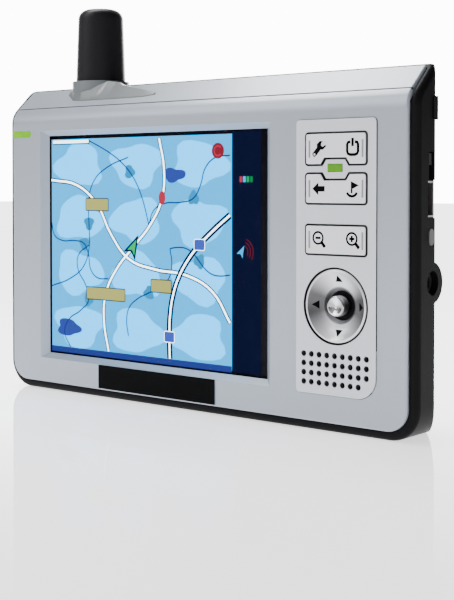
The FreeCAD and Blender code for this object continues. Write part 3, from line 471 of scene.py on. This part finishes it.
def boardFinish():
    # green lacquer with copper tracks under it and bare pads
    finish = Finish("circuitBoard", {"Roughness": 0.32, "Specular IOR Level": 0.5})
    cells = finish.cells(260.0, "DISTANCE_TO_EDGE")
    tracks = cells < 0.05
    pads = finish.cells(420.0) < 0.16
    lacquer = finish.blend(tracks, shade((0.012, 0.10, 0.035)), shade((0.03, 0.20, 0.07)))
    finish.set("Base Color", finish.blend(pads, lacquer, shade((0.62, 0.52, 0.28))))
    finish.set("Metallic", pads * 0.9)
    finish.bump((tracks + pads).clamp(), 0.3, 0.00004)
    return finish


def flexFinish():
    finish = Finish("flexFilm", {"Roughness": 0.30})
    stripes = (finish.axis("X") * 6.0).work("SINE", finish.axis("X") * 6.0)
    cloud = finish.noise(300.0)
    share = (stripes > 0.2) * (0.8 + cloud * 0.2)
    finish.set("Base Color", finish.blend(share, shade((0.32, 0.13, 0.02)), shade((0.55, 0.28, 0.08))))
    finish.bump(share, 0.2, 0.00003)
    return finish


def clothFinish():
    # plain weave in two directions
    finish = Finish("clothBlack", {"Roughness": 0.85, "Specular IOR Level": 0.2})
    warp = (finish.axis("X") * 22.0).work("SINE", finish.axis("X") * 22.0)
    weft = (finish.axis("Z") * 22.0).work("SINE", finish.axis("Z") * 22.0)
    weave = warp * weft * 0.5 + 0.5
    finish.set("Base Color", finish.blend(weave, shade((0.004, 0.004, 0.004)), shade((0.03, 0.03, 0.03))))
    finish.bump(weave, 0.8, 0.00008)
    return finish


def windowFinish():
    finish = Finish("windowClear", {"Base Color": shade((0.01, 0.01, 0.02)), "Alpha": 0.02,
                                    "Specular IOR Level": 0.05})
    smear = finish.noise(70.0, detail=4.0)
    finish.set("Roughness", 0.03 + smear * 0.05)
    return finish


def screenFinish():
    # the dark glass round the picture
    finish = Finish("screenBlack", {"Specular IOR Level": 0.06})
    cloud = finish.noise(120.0)
    finish.set("Base Color", finish.blend(cloud, shade((0.002, 0.0015, 0.004)), shade((0.004, 0.003, 0.008))))
    finish.set("Roughness", 0.18 + cloud * 0.06)
    return finish


def glossBlack():
    finish = Finish("glossBlack", {"Specular IOR Level": 0.02})
    cloud = finish.noise(90.0)
    finish.set("Base Color", finish.blend(cloud, shade((0.002, 0.002, 0.002)), shade((0.004, 0.004, 0.004))))
    finish.set("Roughness", 0.22 + cloud * 0.08)
    finish.bump(finish.noise(1500.0), 0.06, 0.00003)
    return finish


def labelFinish():
    # pale film with a printed border and a blank panel
    finish = Finish("labelFilm", {"Roughness": 0.45})
    across, up = abs(finish.axis("X")), abs(finish.axis("Z") - 36.0)
    edge = ((across > 24.6) + (up > 14.6)).clamp() * (across < 25.1) * (up < 15.1)
    panel = (across < 20.0) * (up > 7.0) * (up < 11.5)
    cloud = finish.noise(400.0)
    film = finish.blend(cloud, shade((0.50, 0.50, 0.49)), shade((0.56, 0.56, 0.55)))
    finish.set("Base Color", finish.blend((edge + panel * 0.5).clamp(), film, shade((0.16, 0.16, 0.17))))
    finish.bump(cloud, 0.1, 0.00003)
    return finish


wear(boardFinish(), "main_board", "key_board")
wear(flexFinish(), "lcd_flex", "battery_flex")
wear(clothFinish(), "speaker_cloth")
wear(windowFinish(), "window_glass")
wear(screenFinish(), "lcd_panel")
printBlack = glossBlack()
wear(printBlack, "badge_plate")
wear(labelFinish(), "rear_label")
print("CAD pieces finished")


def flat(name, finish, body, slot, depth, fills=(), lines=(), width=0.0, smooth=False, thick=0.0):
    # a flat picture piece parallel to the front: filled outlines, or lines of one width, in mm
    made = []
    if fills:
        curve = bpy.data.curves.new(name, "CURVE")
        curve.dimensions = "2D"
        curve.fill_mode = "BOTH"
        curve.extrude = 0.5 * thick * mm
        addSplines(curve, fills, True, False)
        made.append(curve)
    if lines:
        curve = bpy.data.curves.new(name + "_lines", "CURVE")
        curve.dimensions = "3D"
        curve.twist_mode = "Z_UP"
        curve.extrude = 0.5 * width * mm
        curve.resolution_u = 5
        addSplines(curve, lines, False, smooth)
        made.append(curve)
    joined = []
    for curve in made:
        obj = bpy.data.objects.new(name, curve)
        bpy.context.scene.collection.objects.link(obj)
        obj.rotation_euler = (math.radians(90), 0, 0)
        obj.location = (0, (depth - 12.0 - 0.5 * thick) * mm, 0)
        joined.append(obj)
    for obj in bpy.context.selected_objects:
        obj.select_set(False)
    for obj in joined:
        obj.select_set(True)
    bpy.context.view_layer.objects.active = joined[0]
    bpy.ops.object.convert(target="MESH")
    bpy.ops.object.transform_apply(location=True, rotation=True, scale=True)
    if len(joined) > 1:
        bpy.ops.object.join()
    obj = bpy.context.object
    obj.name = name
    obj.data.materials.clear()
    obj.data.materials.append(finish.material)
    obj.select_set(False)
    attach(obj, body)
    return obj


def addSplines(curve, shapes, closed, smooth):
    for shape in shapes:
        spline = curve.splines.new("BEZIER" if smooth else "POLY")
        points = spline.bezier_points if smooth else spline.points
        points.add(len(shape) - 1)
        for point, (x, z) in zip(points, shape):
            if smooth:
                point.co = (x * mm, z * mm, 0)
                point.handle_left_type = point.handle_right_type = "AUTO"
            else:
                point.co = (x * mm, z * mm, 0, 1)
            point.tilt = math.radians(90)
        spline.use_cyclic_u = closed


def disc(x, z, radius, rise=None, count=28):
    rise = rise or radius
    return [(x + radius * math.cos(2 * math.pi * i / count), z + rise * math.sin(2 * math.pi * i / count))
            for i in range(count)]


def arc(x, z, radius, start, end, count=14):
    angles = [math.radians(start + (end - start) * i / count) for i in range(count + 1)]
    return [(x + radius * math.cos(a), z + radius * math.sin(a)) for a in angles]


def roundedBox(x0, z0, x1, z1, radius):
    corners = ((x1 - radius, z1 - radius, 0), (x0 + radius, z1 - radius, 90),
               (x0 + radius, z0 + radius, 180), (x1 - radius, z0 + radius, 270))
    points = []
    for x, z, start in corners:
        points += arc(x, z, radius, start, start + 90, 4)
    return points


# the display's picture: a plain made-up country map of waves and blobs, placed by shares of the picture
picture = {
    "left": -49.7, "wide": 70.7, "low": 10.6, "tall": 56.4, "mapEdge": 0.878, "mapTop": 0.99,
    "glow": 6.5, "dotPitch": 0.22,
}
tints = {
    "sky": (0.0, 0.9, 2.0), "deep": (0.05, 0.1, 0.6), "bright": (4.2, 5.0, 5.0),
    "sand": (0.7, 0.7, 0.2), "rose": (0.8, 0.05, 0.1), "grass": (0.0, 0.8, 0.2),
}
lit = {
    # each lit part: its tint and how strong it shines
    "ground": ("sky", 1.0), "meadow": ("sky", 1.9), "town": ("sky", 0.5), "pale": ("sky", 0.8),
    "lake": ("deep", 0.9), "lane": ("deep", 0.5), "roadEdge": ("deep", 0.35), "navy": ("deep", 0.13),
    "badge": ("deep", 1.4), "band": ("deep", 0.6), "sidebar": ("deep", 0.06),
    "road": ("bright", 1.0), "white": ("bright", 0.9), "tag": ("sand", 1.0), "tagEdge": ("sand", 0.03),
    "red": ("rose", 0.9), "wine": ("rose", 0.45), "ember": ("rose", 0.25),
    "green": ("grass", 1.0), "grass": ("grass", 0.65), "leaf": ("grass", 0.4),
}
meadowField = {"across": 3, "up": 4, "wide": 0.12, "tall": 0.098}


def patch(u, v, wide, tall, seed, count=24):
    # a soft outline: an ellipse with two waves round it
    points = []
    for i in range(count):
        angle = 2 * math.pi * i / count
        reach = 1 + 0.15 * math.sin(3 * angle + seed) + 0.07 * math.sin(5 * angle - 2 * seed)
        points.append((u + wide * reach * math.cos(angle), v + tall * reach * math.sin(angle)))
    return points


def route(start, end, bend, turns, count=8):
    # a winding line: the straight one, pushed sideways by a wave
    across, up = end[0] - start[0], end[1] - start[1]
    points = []
    for i in range(count + 1):
        share = i / count
        push = bend * math.sin(math.pi * turns * share)
        points.append((start[0] + across * share - up * push, start[1] + up * share + across * push))
    return points


def meadowPatches():
    stepAcross = picture["mapEdge"] / meadowField["across"]
    stepUp = picture["mapTop"] / meadowField["up"]
    return [patch((i + 0.5) * stepAcross, (j + 0.5) * stepUp, meadowField["wide"], meadowField["tall"],
                  2.1 * i + 1.3 * j)
            for i in range(meadowField["across"]) for j in range(meadowField["up"])]


lanes = [
    route((0, 0.3), (0.4, 0.9), -0.12, 2), route((0.1, 0.02), (0.2, 0.5), 0.1, 3),
    route((0.2, 0.98), (0.5, 0.6), 0.15, 1), route((0.5, 0.6), (0.87, 0.9), 0.08, 3),
    route((0.4, 0.1), (0.6, 0.5), 0.12, 2), route((0.6, 0.5), (0.87, 0.4), 0.1, 2),
    route((0.3, 0.35), (0, 0.6), 0.1, 3),
]
roads = [route((0, 0.8), (0.87, 0.2), 0.06, 3), route((0.3, 0.02), (0.55, 0.98), 0.08, 2)]
motorways = [route((0.6, 0.02), (0.87, 0.65), 0.15, 1)]
lakes = [patch(0.62, 0.82, 0.05, 0.03, 1), patch(0.09, 0.11, 0.06, 0.04, 2)]
# a town halfway along each lane, and blank tags and badges on the roads
towns = [patch(*line[len(line) // 2], 0.024, 0.03, seed) for seed, line in enumerate(lanes)]
tags = [(*roads[0][2], 0.12, 0.06), (*roads[1][2], 0.20, 0.06), (*lanes[4][5], 0.10, 0.06)]
badges = [(*motorways[0][1], 0.05, 0.05), (*motorways[0][6], 0.05, 0.05)]
finishes = {}


def onMap(shapes):
    return [[(picture["left"] + u * picture["wide"], picture["low"] + v * picture["tall"]) for u, v in shape]
            for shape in shapes]


def spotOnMap(u, v):
    return onMap([[(u, v)]])[0][0]


def tagBoxes(items, grow):
    boxes = []
    for u, v, wide, tall in items:
        left, low = spotOnMap(u - wide / 2, v - tall / 2)
        right, high = spotOnMap(u + wide / 2, v + tall / 2)
        boxes.append(roundedBox(left - grow, low - grow, right + grow, high + grow, 0.45 + grow))
    return boxes


def arrowhead(x, z, size, heading):
    # tip, tail, notch and tail, each at its turn from the heading
    points = []
    for turn, reach in ((0, 1.0), (140, 1.0), (180, 0.4), (220, 1.0)):
        angle = math.radians(heading + turn)
        points.append((x + size * reach * math.cos(angle), z + size * reach * math.sin(angle)))
    return points


def glowing(name):
    # a lit part of the picture, with the display's fine dots
    tint, strength = lit[name]
    colour = shade(tints[tint], strength / picture["glow"])
    plain = {"Roughness": 0.5, "Specular IOR Level": 0.0, "Emission Strength": picture["glow"]}
    finish = Finish("screen_" + name, plain)
    pitch = 2 * math.pi / picture["dotPitch"]
    dots = []
    for axis in ("X", "Z"):
        run = finish.axis(axis) * pitch
        dots.append(run.work("SINE", run))
    grid = dots[0] * dots[1] * 0.5 + 0.5
    haze = finish.noise(30.0, detail=2.0)
    tone = finish.blend(grid * 0.6 + haze * 0.4, shade(colour, 0.93), shade(colour, 1.07))
    finish.set("Base Color", finish.blend(grid, shade(black, 0.2), shade(black, 0.5)))
    finish.set("Emission Color", tone)
    return finish


def mapSign(name, code, depth, **shapes):
    if code not in finishes:
        finishes[code] = glowing(code)
    flat(name, finishes[code], "root", "display", depth, **shapes)


def makeMap():
    edge = picture["mapEdge"]
    top = picture["mapTop"]
    whole = [((0, 0), (edge, 0), (edge, top), (0, top))]
    strip = [((edge, -.005), (1.0, -.005), (1.0, 1.0), (edge, 1.0))]
    band = [((0, -.008), (edge, -.008), (edge, .018), (0, .018))]
    layers = (
        ("map_ground", "ground", 2.97, dict(fills=onMap(whole))),
        ("map_sidebar", "sidebar", 2.965, dict(fills=onMap(strip))),
        ("map_meadows", "meadow", 2.95, dict(fills=onMap(meadowPatches()))),
        ("map_towns", "town", 2.93, dict(fills=onMap(towns))),
        ("map_lakes", "lake", 2.92, dict(fills=onMap(lakes))),
        ("map_lanes", "lane", 2.91, dict(lines=onMap(lanes), width=0.34, smooth=True)),
        ("map_road_edges", "roadEdge", 2.90, dict(lines=onMap(roads), width=1.2, smooth=True)),
        ("map_roads", "road", 2.89, dict(lines=onMap(roads), width=0.56, smooth=True)),
        ("map_motorway_edges", "navy", 2.88, dict(lines=onMap(motorways), width=1.75, smooth=True)),
        ("map_motorways", "road", 2.87, dict(lines=onMap(motorways), width=0.55, smooth=True)),
        ("map_band", "band", 2.865, dict(fills=onMap(band))),
        ("map_tag_edges", "tagEdge", 2.86, dict(fills=tagBoxes(tags, 0.0))),
        ("map_tags", "tag", 2.85, dict(fills=tagBoxes(tags, -0.22))),
        ("map_badge_edges", "road", 2.86, dict(fills=tagBoxes(badges, 0.0))),
        ("map_badges", "badge", 2.85, dict(fills=tagBoxes(badges, -0.15))),
    )
    for name, code, depth, shapes in layers:
        mapSign(name, code, depth, **shapes)
    print("map laid out")


def makeMapSigns():
    # position arrow, target, menu knob, scale, battery and reception signs
    edge = picture["mapEdge"]
    x, z = spotOnMap(*roads[1][4])
    mapSign("map_arrow", "navy", 2.84, fills=[arrowhead(x, z, 3.6, 60)])
    mapSign("map_arrow_inner", "green", 2.83, fills=[arrowhead(x, z, 2.2, 60)])
    mapSign("map_target", "red", 2.83, fills=[disc(*spotOnMap(*roads[1][6]), 1.1, 1.7)])
    x, z = spotOnMap(edge - 0.06, picture["mapTop"] - 0.07)
    mapSign("map_menu", "wine", 2.84, fills=[disc(x, z, 1.9)])
    mapSign("map_menu_ring", "red", 2.83, lines=[arc(x, z, 1.15, 40, 320)], width=0.4)
    left, low = spotOnMap(0.01, 0.97)
    right, high = spotOnMap(0.2, 0.985)
    mapSign("map_scale_edge", "tagEdge", 2.845, fills=[roundedBox(left, low - 0.3, right + 0.3, high, 0.2)])
    mapSign("map_scale", "white", 2.84, fills=[roundedBox(left, low, right, high, 0.2)])
    x, z = spotOnMap((edge + 1) / 2, 0.8)
    for index, code in enumerate(("red", "pale", "grass", "leaf")):
        start = x - 2.0 + 1.05 * index
        shape = roundedBox(start, z - 0.7, start + 0.8, z + 0.7, 0.15)
        mapSign(f"map_battery_{index}", code, 2.9, fills=[shape])
    x, z = spotOnMap((edge + 1) / 2, 0.5)
    mapSign("map_reception", "pale", 2.9, fills=[arrowhead(x - 1.4, z, 1.6, 60)])
    waves = [arc(x - 1.0, z, radius, -35, 70, 8) for radius in (1.5, 2.3, 3.1)]
    mapSign("map_waves", "ember", 2.9, lines=waves, width=0.28)
    print("map signs laid out")


makeMap()
makeMapSigns()

signs = {"face": -0.55, "thick": 0.03, "line": 0.55}


def keySign(name, body, fills=(), lines=(), width=None):
    flat(name, printBlack, body, "badge_black", signs["face"] - 0.02, fills=fills, lines=lines,
         width=width or signs["line"], thick=signs["thick"] if fills else 0.0)


def makeKeySigns():
    x, z = 39.75, 62.2                     # spanner
    spanner = [(x - 1.75, z - 1.05), (x - 1.25, z - 1.75), (x - 0.6, z - 1.35), (x + 0.5, z - 0.1),
               (x + 1.15, z - 0.1), (x + 1.95, z + 0.6), (x + 1.8, z + 0.95), (x + 1.05, z + 0.5),
               (x + 0.6, z + 0.8), (x + 0.65, z + 1.35), (x + 1.15, z + 1.7), (x + 0.3, z + 1.8),
               (x - 0.5, z + 1.1), (x - 0.5, z + 0.35), (x - 1.35, z - 0.5)]
    keySign("sign_spanner", "power_key", fills=[spanner, disc(x - 1.15, z - 1.1, 0.27, count=12)])
    x, z = 48.6, 62.4                      # power
    box = [(x - 0.55, z + 1.25), (x - 1.15, z + 1.15), (x - 1.4, z + 0.7), (x - 1.4, z - 0.8),
           (x - 1.15, z - 1.3), (x - 0.6, z - 1.5), (x + 0.6, z - 1.5), (x + 1.15, z - 1.3),
           (x + 1.4, z - 0.8), (x + 1.4, z + 0.7), (x + 1.15, z + 1.15), (x + 0.55, z + 1.25)]
    keySign("sign_power", "power_key", lines=[box, [(x, z + 2.1), (x, z + 0.3)]], width=0.66)
    x, z = 39.75, 53.55                    # back
    keySign("sign_back", "back_key", fills=[[
        (x - 1.65, z), (x - 0.1, z + 1.4), (x - 0.1, z + 0.6), (x + 1.6, z + 0.6), (x + 1.6, z - 0.6),
        (x - 0.1, z - 0.6), (x - 0.1, z - 1.4)]])
    x, z = 48.6, 53.5                      # flag
    keySign("sign_flag", "back_key", fills=[[
        (x - 0.4, z - 0.9), (x - 0.4, z + 1.7), (x + 1.65, z + 0.8), (x, z + 0.05), (x, z - 0.9)]])
    keySign("sign_flag_foot", "back_key", lines=[arc(x - 0.15, z - 0.15, 1.4, 205, 335)], width=0.58)
    for name, x, cross in (("out", 39.6, False), ("in", 48.45, True)):
        z = 42.8
        bars = [[(x - 0.7, z), (x + 0.7, z)]]
        if cross:
            bars.append([(x, z - 0.7), (x, z + 0.7)])
        keySign("sign_zoom_" + name, "zoom_key", lines=[arc(x, z, 1.3, 0, 360, 24)], width=0.46)
        keySign("sign_zoom_bars_" + name, "zoom_key", lines=bars, width=0.5)
        keySign("sign_zoom_grip_" + name, "zoom_key",
                lines=[[(x + 0.85, z - 0.85), (x + 1.85, z - 2.0)]], width=0.75)
    print("key signs printed")


dishArrows = {
    # how far out the arrowheads start, their length and half width, and the ring that they lie on
    "reach": 5.25, "long": 1.5, "half": 0.95, "lift": 0.03,
    "innerRadius": 4.0, "outerRadius": 7.55, "innerDepth": 1.54, "rise": 1.86,
}


def makeDishSigns():
    # four arrowheads that follow the slope of the ring round the stick
    x, z = turnedMetal["x"], turnedMetal["z"]
    reach, half = dishArrows["reach"], dishArrows["half"]
    inner, outer = dishArrows["innerRadius"], dishArrows["outerRadius"]
    tipAt = reach + dishArrows["long"]
    for name, along, across in (("up", (0, 1), (1, 0)), ("down", (0, -1), (1, 0)),
                                ("left", (-1, 0), (0, 1)), ("right", (1, 0), (0, 1))):
        tip = (x + along[0] * tipAt, z + along[1] * tipAt)
        ends = [(x + along[0] * reach + across[0] * side, z + along[1] * reach + across[1] * side)
                for side in (-half, half)]
        obj = flat("arrow_" + name, printBlack, "root", "badge_black", 0.0, fills=[[tip, *ends]])
        bpy.context.view_layer.objects.active = obj
        obj.select_set(True)
        bpy.ops.object.mode_set(mode="EDIT")
        bpy.ops.mesh.select_all(action="SELECT")
        bpy.ops.mesh.subdivide(number_cuts=4)
        bpy.ops.object.mode_set(mode="OBJECT")
        obj.select_set(False)
        for point in obj.data.vertices:
            radius = math.hypot(point.co.x / mm - x, point.co.z / mm - z)
            share = (radius - inner) / (outer - inner)
            depth = dishArrows["innerDepth"] - dishArrows["rise"] * share ** 2
            point.co.y = (depth - 12.0 - dishArrows["lift"]) * mm


makeKeySigns()
makeDishSigns()
